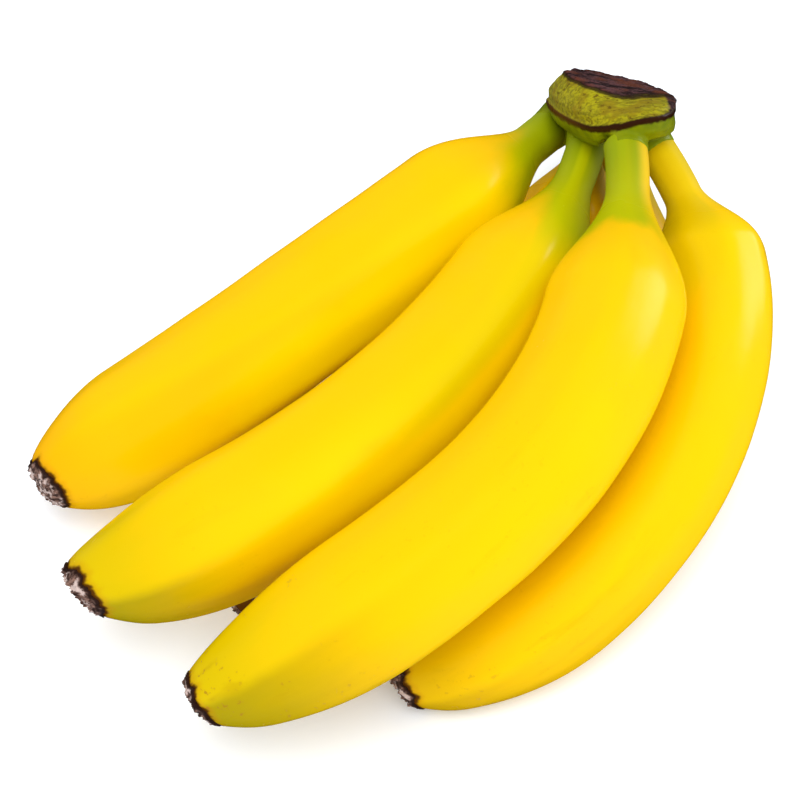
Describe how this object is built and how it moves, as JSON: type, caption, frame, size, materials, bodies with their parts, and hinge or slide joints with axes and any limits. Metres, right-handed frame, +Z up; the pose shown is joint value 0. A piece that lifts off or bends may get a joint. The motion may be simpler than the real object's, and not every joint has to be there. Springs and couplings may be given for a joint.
{
  "type": "bunch of bananas",
  "caption": "Hand of ripe yellow bananas in two rows, grown together at a trimmed green crown, lying on its side with the tips fanned out.",
  "frame": {"origin": "centre of the bunch's bounding box at the height of the surface it lies on", "axes": "+Z up; the crown is towards +X +Y and the tips point towards -X -Y"},
  "size_m": [0.2112, 0.2232, 0.0931],
  "materials": {
    "peel": "smooth waxy banana peel, satin, bright yellow with green stems and dried dark tips",
    "crown": "cut stalk, dull yellow-green with a dried brown cut face"
  },
  "bodies": {
    "root": {"crown": "crown", "banana_1": "peel", "banana_2": "peel", "banana_3": "peel", "banana_4": "peel", "banana_5": "peel", "banana_6": "peel"}
  },
  "joints": []
}
